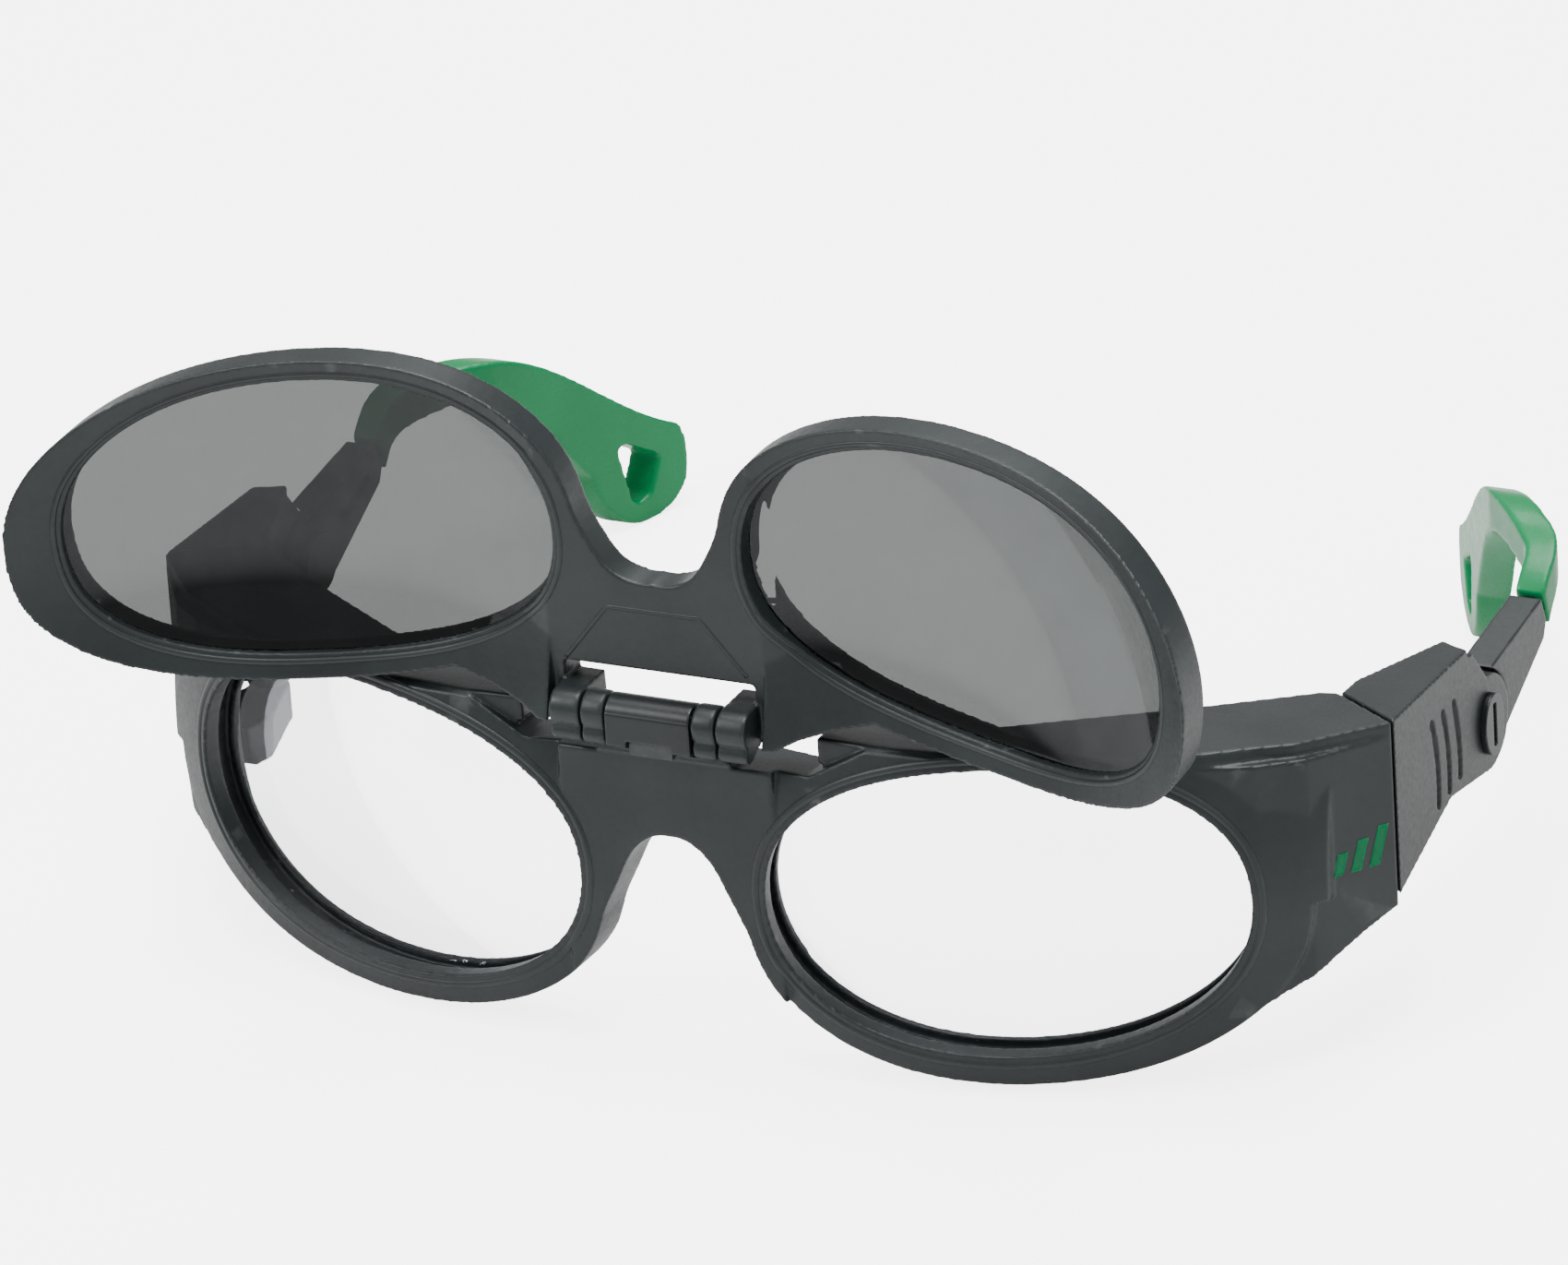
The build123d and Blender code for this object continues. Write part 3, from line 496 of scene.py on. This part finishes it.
@dataclass(frozen=True)
class Rounding:
    """How a sharp CAD copy gets the soft edges of a moulding."""

    voxel: float
    smooth: int
    keep: float = 1.0

    def soften(self, obj: bpy.types.Object) -> None:
        """Remeshes a piece and eases its edges.

        Args:
            obj: The piece.
        """
        remesh = obj.modifiers.new("remesh", "REMESH")
        remesh.mode = "VOXEL"
        remesh.voxel_size = self.voxel
        remesh.use_smooth_shade = True
        ease = obj.modifiers.new("ease", "SMOOTH")
        ease.factor = 0.5
        ease.iterations = self.smooth
        if self.keep < 1.0:
            thin = obj.modifiers.new("thin", "DECIMATE")
            thin.ratio = self.keep
        apply_modifiers(obj)
        obj.data.shade_smooth()


def softened(node: str, body: str, rounding: Rounding, material: bpy.types.Material) -> bpy.types.Object:
    """A soft-edged copy of a CAD node that stands for it.

    Args:
        node: The CAD node.
        body: The body that it rides on.
        rounding: How its edges are eased.
        material: Its finish.

    Returns:
        The new piece.
    """
    obj = merged_copy(node, node + "_moulding")
    rounding.soften(obj)
    dress(obj, material)
    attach(obj, body)
    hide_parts(node)
    return obj


def polished(node: str, body: str, width: float, material: bpy.types.Material) -> bpy.types.Object:
    """A copy of a lens with a small ground bevel along its rim.

    Args:
        node: The CAD node.
        body: The body that it rides on.
        width: The bevel's width in metres.
        material: Its finish.

    Returns:
        The new piece, which stands for the node.
    """
    obj = merged_copy(node, node + "_polished")
    bm = bmesh.new()
    bm.from_mesh(obj.data)
    bm.normal_update()
    rim = [e for e in bm.edges if len(e.link_faces) == 2 and e.calc_face_angle() > RIM_ANGLE]
    bmesh.ops.bevel(
        bm, geom=rim, offset=width, affect="EDGES", segments=2, profile=0.5, material=-1
    )
    for face in bm.faces:
        face.smooth = True
    for edge in bm.edges:
        edge.smooth = len(edge.link_faces) != 2 or edge.calc_face_angle(0.0) < SHARP_ANGLE
    bm.to_mesh(obj.data)
    bm.free()
    dress(obj, material)
    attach(obj, body)
    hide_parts(node)
    return obj


# --- the front's own frames ---------------------------------------------------------


def joint(name: str) -> dict[str, Any]:
    """A joint of the record, by name."""
    return next(j for j in frame["record"]["behaviour"]["joints"] if j["name"] == name)


@dataclass(frozen=True)
class Layout:
    """Sizes that the details share with the CAD, in millimetres of the front's own frame."""

    axis_y: float = -1.2
    axis_z: float = 19.4
    rise: float = 1.0
    lens: tuple[float, float, float, float] = (54.0, 33.6, 2.19, 4.6)
    lens_x: float = 38.90
    wrap: float = 12.1
    shade: tuple[float, float, float, float] = (55.6, 32.7, 2.28, 5.1)
    shade_x: float = 40.2
    shade_wrap: float = 13.1
    shade_back: float = 4.2

    def rest(self) -> Matrix:
        """Finds the front's own frame from the joints.

        Returns:
            That frame as it lies at rest, in millimetres.
        """
        up = Vector(joint("fold_left")["axis"])
        if up.z < 0:
            up = -up
        turn = Matrix.Rotation(-math.atan2(up.y, up.z), 4, "X")
        hinge = Vector(joint("flip_up")["pos_m"]) / MM
        place = turn.copy()
        place.translation = hinge - turn @ Vector((0, self.axis_y, self.axis_z))
        return place

    def raised(self) -> Matrix:
        """Turns the shaded front's own frame up about its hinge.

        Returns:
            That frame at rest, in millimetres.
        """
        turn = Matrix.Rotation(math.radians(-joint("flip_up")["range_deg"][1]), 4, "X")
        there = Matrix.Translation((0, self.axis_y, self.axis_z))
        back = Matrix.Translation((0, -self.axis_y, self.rise - self.axis_z))
        return self.rest() @ there @ turn @ back


LAYOUT = Layout()


def lens_frame(base: Matrix, x: float, y: float, wrap: float) -> Matrix:
    """A lens's own plane: X across it, Y up it, Z forwards out of it.

    Args:
        base: The frame of the front that holds the lens.
        x: The lens's middle, across the front.
        y: The lens's middle, front to back.
        wrap: How far it turns round the face, in degrees.

    Returns:
        The plane's frame.
    """
    c = math.cos(math.radians(wrap))
    s = math.sin(math.radians(wrap))
    axes = Matrix(((c, 0, s), (s, 0, -c), (0, 1, 0))).to_4x4()
    return base @ Matrix.Translation((x, y, 0)) @ axes


def superellipse(size: tuple[float, float, float, float], grow: float, count: int) -> list[Vector]:
    """Points of a lens outline.

    Args:
        size: Its width, height, squareness and slant in degrees.
        grow: How far outside the lens it runs.
        count: How many points.

    Returns:
        The points, in the lens's own plane.
    """
    width, height, power, slant = size
    turn = Matrix.Rotation(math.radians(slant), 3, "Z")
    points = []
    for i in range(count):
        t = 2 * math.pi * i / count
        c, d = math.cos(t), math.sin(t)
        x = math.copysign(abs(c) ** (2 / power), c) * (width / 2 + grow)
        y = math.copysign(abs(d) ** (2 / power), d) * (height / 2 + grow)
        points.append(turn @ Vector((x, y, 0)))
    return points


@dataclass
class Surface:
    """A CAD node's surface, for laying details on it."""

    node: str
    tree: BVHTree = field(init=False)

    def __post_init__(self) -> None:
        """Reads the node's triangles."""
        mesh = frame["nodes"][self.node].data
        points = [v.co.copy() for v in mesh.vertices]
        faces = [tuple(p.vertices) for p in mesh.polygons]
        self.tree = BVHTree.FromPolygons(points, faces)

    def lay(self, points: Iterable[Vector], base: Matrix, away: Vector) -> Laid:
        """Drops points, given in base's millimetres, onto the surface.

        Args:
            points: The points.
            base: The frame that they are given in.
            away: The way the rays travel, in base.

        Returns:
            Places and outward normals in metres, without the points that miss.
        """
        way = (base.to_3x3() @ away).normalized()
        laid = []
        for point in points:
            start = (base @ point) * MM - way * RAY_START * MM
            place, normal, _, _ = self.tree.ray_cast(start, way)
            if place is not None:
                laid.append((place, normal if normal.dot(way) < 0 else -normal))
        return laid


def mirrored(laid: Laid) -> Laid:
    """The same path on the wearer's other side."""
    flip = Matrix.Scale(-1, 3, (1, 0, 0))
    return [(flip @ p, flip @ n) for p, n in reversed(laid)]


def even(laid: Laid, passes: int) -> Laid:
    """Averages a closed path's places and normals along it.

    Args:
        laid: The path.
        passes: How many times it is averaged.

    Returns:
        The evened path.
    """
    for _ in range(passes):
        count = len(laid)
        laid = [
            (
                (laid[i - 1][0] + laid[i][0] * 2 + laid[(i + 1) % count][0]) / 4,
                (laid[i - 1][1] + laid[i][1] * 2 + laid[(i + 1) % count][1]).normalized(),
            )
            for i in range(count)
        ]
    return laid


@dataclass(frozen=True)
class Bead:
    """A low rounded ridge swept along a path on a surface, its sizes in millimetres."""

    width: float
    height: float
    sunk: float
    sides: int = 10

    def sweep(self, bm: bmesh.types.BMesh, laid: Laid, closed: bool) -> None:
        """Adds the ridge to a bmesh.

        Args:
            bm: The bmesh.
            laid: The path, as places and outward normals.
            closed: Whether the path comes back to its start.
        """
        count = len(laid)
        rings = []
        for i, (place, normal) in enumerate(laid):
            ahead = laid[(i + 1) % count][0] if closed or i + 1 < count else place
            behind = laid[i - 1][0] if closed or i > 0 else place
            across = normal.cross(ahead - behind).normalized()
            ring = []
            for k in range(self.sides):
                t = 2 * math.pi * k / self.sides
                out = math.sin(t) * self.height - self.sunk
                ring.append(
                    bm.verts.new(place + (across * math.cos(t) * self.width + normal * out) * MM)
                )
            rings.append(ring)
        pairs = [(i, (i + 1) % count) for i in range(count if closed else count - 1)]
        for a, b in pairs:
            for k in range(self.sides):
                n = (k + 1) % self.sides
                bm.faces.new((rings[a][k], rings[a][n], rings[b][n], rings[b][k]))
        if not closed:
            bm.faces.new(rings[0])
            bm.faces.new(list(reversed(rings[-1])))


def made_of(name: str, bm: bmesh.types.BMesh, body: str, material: bpy.types.Material) -> bpy.types.Object:
    """Turns a bmesh into a smooth piece.

    Args:
        name: The piece's name.
        bm: The bmesh, which is freed.
        body: The body that it rides on.
        material: Its finish.

    Returns:
        The new piece.
    """
    bmesh.ops.recalc_face_normals(bm, faces=bm.faces)
    for face in bm.faces:
        face.smooth = True
    mesh = bpy.data.meshes.new(name)
    bm.to_mesh(mesh)
    bm.free()
    obj = link(mesh, name)
    dress(obj, material)
    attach(obj, body)
    return obj


# --- sub-assemblies -----------------------------------------------------------------


@dataclass
class SafetyFront:
    """The clear-lens frame with its brow shelf, hinge lugs and folding pins."""

    palette: Palette
    body: str = "front"
    edges: Rounding = Rounding(0.22 * MM, 7, 0.24)
    block_edges: Rounding = Rounding(0.12 * MM, 4)
    lens_bevel: float = 0.15 * MM
    rim_bead: Bead = Bead(0.5, 0.34, 0.12)
    rim_grow: float = 1.2
    rim_points: int = 180
    mark_middle: Point = (72.6, 21.2, 4.4)
    mark_out: Point = (0.82, -0.57, 0.0)
    mark_along: Point = (0.57, 0.82, 0.0)
    bar_heights: tuple[float, ...] = (2.6, 3.6, 4.6)
    bar_steps: tuple[float, ...] = (0.0, 0.45, 0.9, 1.35)
    bar_pitch: float = 2.3
    bar_start: float = 2.9
    bar_slant: float = 0.3
    bar_rows: int = 7
    ink_lift: float = 0.04
    ink_thickness: float = 0.06 * MM

    def build(self) -> list[bpy.types.Object]:
        """Builds and dresses the frame, its lenses and hinge parts.

        Returns:
            The new pieces.
        """
        made = [softened("front_frame", self.body, self.edges, self.palette[Finish.FRAME])]
        smooth = self.palette[Finish.SMOOTH]
        made.append(softened("hinge_block", self.body, self.block_edges, smooth))
        for side in ("left", "right"):
            glass = self.palette[Finish.CLEAR]
            made.append(polished("clear_lens_" + side, self.body, self.lens_bevel, glass))
            dress_node("fold_pin_" + side, self.palette[Finish.STEEL])
        dress_node("detent_spring", smooth)
        made.append(self.ridges())
        made.append(self.mark())
        return made

    def ridges(self) -> bpy.types.Object:
        """Lays a raised line round both clear openings.

        Returns:
            The lines, as one piece.
        """
        surface = Surface("front_frame")
        lens = lens_frame(LAYOUT.rest(), LAYOUT.lens_x, 0, LAYOUT.wrap)
        ring = superellipse(LAYOUT.lens, self.rim_grow, self.rim_points)
        laid = even(surface.lay(ring, lens, Vector((0, 0, -1))), 2)
        bm = bmesh.new()
        for path in (laid, mirrored(laid)):
            self.rim_bead.sweep(bm, path, closed=True)
        return made_of("front_ridges", bm, self.body, self.palette[Finish.FRAME])

    def mark(self) -> bpy.types.Object:
        """Prints a plain mark of three slanted bars on the wearer's left wall.

        Returns:
            The mark, as one piece.
        """
        surface = Surface("front_frame")
        rest = LAYOUT.rest()
        out = Vector(self.mark_out)
        along = Vector(self.mark_along)
        tallest = max(self.bar_heights)
        bm = bmesh.new()
        for k, height in enumerate(self.bar_heights):
            start = Vector(self.mark_middle) + along * (k * self.bar_pitch - self.bar_start)
            rows = []
            for r in range(self.bar_rows):
                z = (r / (self.bar_rows - 1) - 0.5) * height - (tallest - height) / 2
                at = start + along * (z * self.bar_slant) + Vector((0, 0, z))
                spots = [at + along * step for step in self.bar_steps]
                rows.append(surface.lay(spots, rest, -out))
            if any(len(row) != len(self.bar_steps) for row in rows):
                LOG.warning("bar %d runs off the wall and is left out", k)
                continue
            grid = [[bm.verts.new(p + n * self.ink_lift * MM) for p, n in row] for row in rows]
            for low, high in zip(grid, grid[1:]):
                for i in range(len(self.bar_steps) - 1):
                    bm.faces.new((low[i], low[i + 1], high[i + 1], high[i]))
        geom = bm.faces[:] + bm.edges[:] + bm.verts[:]
        bmesh.ops.solidify(bm, geom=geom, thickness=self.ink_thickness)
        return made_of("side_mark", bm, self.body, self.palette[Finish.MARK])


@dataclass
class Visor:
    """The shaded front that flips up."""

    palette: Palette
    body: str = "visor"
    edges: Rounding = Rounding(0.2 * MM, 6, 0.34)
    lens_bevel: float = 0.15 * MM
    rim_bead: Bead = Bead(0.4, 0.3, 0.1)
    rim_grow: float = 0.85
    rim_points: int = 200
    pad_bead: Bead = Bead(0.28, 0.16, 0.04)
    pad_steps: int = 14
    pad_corners: tuple[Point, ...] = (
        (-11.2, -30, 24.4),
        (-5.6, -30, 31.2),
        (5.6, -30, 31.2),
        (11.2, -30, 24.4),
    )

    def build(self) -> list[bpy.types.Object]:
        """Builds and dresses the shaded front and its lenses.

        Returns:
            The new pieces.
        """
        made = [softened("flip_front", self.body, self.edges, self.palette[Finish.VISOR])]
        for side in ("left", "right"):
            glass = self.palette[Finish.SHADE]
            made.append(polished("shade_lens_" + side, self.body, self.lens_bevel, glass))
        dress_node("flip_hinge_pin", self.palette[Finish.STEEL])
        made.append(self.ridges())
        return made

    def ridges(self) -> bpy.types.Object:
        """Lays lines round both shaded openings and over the pad between them.

        Returns:
            The lines, as one piece.
        """
        surface = Surface("flip_front")
        raised = LAYOUT.raised()
        lens = lens_frame(raised, LAYOUT.shade_x, -LAYOUT.shade_back, LAYOUT.shade_wrap)
        ring = superellipse(LAYOUT.shade, self.rim_grow, self.rim_points)
        bm = bmesh.new()
        for way in (1, -1):
            laid = even(surface.lay(ring, lens, Vector((0, 0, way))), 2)
            for path in (laid, mirrored(laid)):
                self.rim_bead.sweep(bm, path, closed=True)
        corners = [Vector(corner) for corner in self.pad_corners]
        outline = []
        for a, b in zip(corners, corners[1:]):
            outline += [a.lerp(b, i / self.pad_steps) for i in range(self.pad_steps)]
        laid = surface.lay(outline, LAYOUT.rest(), Vector((0, 1, 0)))
        self.pad_bead.sweep(bm, laid, closed=False)
        return made_of("visor_ridges", bm, self.body, self.palette[Finish.VISOR])


@dataclass
class SideArm:
    """One temple: front part, incline arm, slider and ear tip."""

    palette: Palette
    side: str
    front_edges: Rounding = Rounding(0.2 * MM, 6)
    arm_edges: Rounding = Rounding(0.16 * MM, 6)
    axle_edges: Rounding = Rounding(0.1 * MM, 3)
    cap_edges: Rounding = Rounding(0.1 * MM, 4)
    tip_edges: Rounding = Rounding(0.2 * MM, 18)

    def build(self) -> list[bpy.types.Object]:
        """Builds and dresses this side's pieces.

        Returns:
            The new pieces.
        """
        s = self.side
        arm = self.palette[Finish.ARM]
        smooth = self.palette[Finish.SMOOTH]
        soft = self.palette[Finish.TIP]
        made = [
            softened("temple_front_" + s, "temple_" + s, self.front_edges, arm),
            softened("incline_arm_" + s, "arm_" + s, self.arm_edges, arm),
            softened("incline_axle_" + s, "temple_" + s, self.axle_edges, smooth),
            softened("incline_cap_" + s, "temple_" + s, self.cap_edges, smooth),
            softened("ear_tip_" + s, "tip_" + s, self.tip_edges, soft),
        ]
        dress_node("slider_" + s, smooth)
        return made


# --- studio -------------------------------------------------------------------------


@dataclass
class Studio:
    """Pale floor, soft lights and the camera."""

    target: Vector = field(default_factory=lambda: Vector((-2.242, -9.222, 29.883)) * MM)
    azimuth: float = 30.369
    elevation: float = 32.357
    roll: float = 9.587
    distance: float = 1.29553
    lens: float = 268.79
    floor_size: float = 6.0
    floor_glow: float = 4.2
    ambient: float = 0.5

    def floor(self) -> None:
        """A plain pale floor under the goggles."""
        bm = bmesh.new()
        bmesh.ops.create_grid(bm, x_segments=1, y_segments=1, size=self.floor_size / 2)
        mesh = bpy.data.meshes.new("floor")
        bm.to_mesh(mesh)
        bm.free()
        obj = link(mesh, "floor")
        t = Tree("pale_floor")
        plain: dict[Any, Any] = {"Base Color": (0.8, 0.8, 0.8), "Roughness": 0.9}
        plain["Specular IOR Level"] = 0.1
        dim = t.node("ShaderNodeBsdfPrincipled", None, plain)
        glow = {"Emission Color": (1.0, 1.0, 1.0), "Emission Strength": self.floor_glow}
        lit = t.node("ShaderNodeBsdfPrincipled", None, {**plain, **glow})
        seen = t.node("ShaderNodeLightPath", output="Is Camera Ray")
        shader = t.node("ShaderNodeMixShader", None, {0: seen, 1: dim, 2: lit})
        dress(obj, t.finish(shader))

    def light(self, name: str, place: Point, size: float, watts: float, aim: Point) -> None:
        """Hangs one soft area light.

        Args:
            name: Its name.
            place: Where it hangs, in metres.
            size: The width of its disc, in metres.
            watts: Its power.
            aim: The point that it faces.
        """
        lamp = bpy.data.lights.new(name, "AREA")
        lamp.shape = "DISK"
        lamp.size = size
        lamp.energy = watts
        obj = bpy.data.objects.new(name, lamp)
        obj.location = place
        obj.rotation_euler = (Vector(aim) - Vector(place)).to_track_quat("-Z", "Y").to_euler()
        bpy.context.scene.collection.objects.link(obj)

    def lights(self) -> None:
        """Broad overhead light, a key from the front left and a rim light from behind."""
        self.light("overhead", (0.0, 0.1, 0.9), 0.7, 16.0, (0.0, 0.0, 0.0))
        self.light("key", (-0.6, -0.5, 0.7), 0.4, 6.0, (0.0, 0.0, 0.03))
        self.light("side", (0.8, -0.3, 0.5), 0.5, 1.6, (0.0, 0.0, 0.03))
        self.light("back", (-0.3, 0.8, 0.8), 0.3, 2.0, (0.0, 0.0, 0.04))
        world = bpy.data.worlds.new("studio")
        world.use_nodes = True
        sky = world.node_tree.nodes["Background"]
        sky.inputs["Color"].default_value = (1.0, 1.0, 1.0, 1.0)
        sky.inputs["Strength"].default_value = self.ambient
        bpy.context.scene.world = world

    def camera(self) -> None:
        """The camera, at its azimuth, elevation and roll about the target."""
        az = math.radians(self.azimuth)
        el = math.radians(self.elevation)
        out = Vector((math.sin(az) * math.cos(el), -math.cos(az) * math.cos(el), math.sin(el)))
        ahead = -out
        upright = (Vector((0, 0, 1)) - ahead * ahead.z).normalized()
        across = ahead.cross(upright)
        roll = math.radians(self.roll)
        up = upright * math.cos(roll) + across * math.sin(roll)
        right = ahead.cross(up)
        data = bpy.data.cameras.new("camera")
        data.lens = self.lens
        data.sensor_width = 36.0
        data.clip_start = 0.05
        obj = bpy.data.objects.new("camera", data)
        place = Matrix((right, up, -ahead)).transposed().to_4x4()
        place.translation = self.target + out * self.distance
        obj.matrix_world = place
        bpy.context.scene.collection.objects.link(obj)
        bpy.context.scene.camera = obj

    def build(self) -> None:
        """Sets the whole studio."""
        self.floor()
        self.lights()
        self.camera()


def main() -> None:
    """Builds the goggles and the studio, and reports each piece."""
    logging.basicConfig(level=logging.INFO, format="%(name)s: %(message)s")
    palette = Palette()
    parts = [
        SafetyFront(palette),
        Visor(palette),
        SideArm(palette, "left"),
        SideArm(palette, "right"),
    ]
    for part in parts:
        for piece in part.build():
            LOG.info("%s: %d faces", piece.name, len(piece.data.polygons))
    Studio().build()


if __name__ == "__main__":
    main()
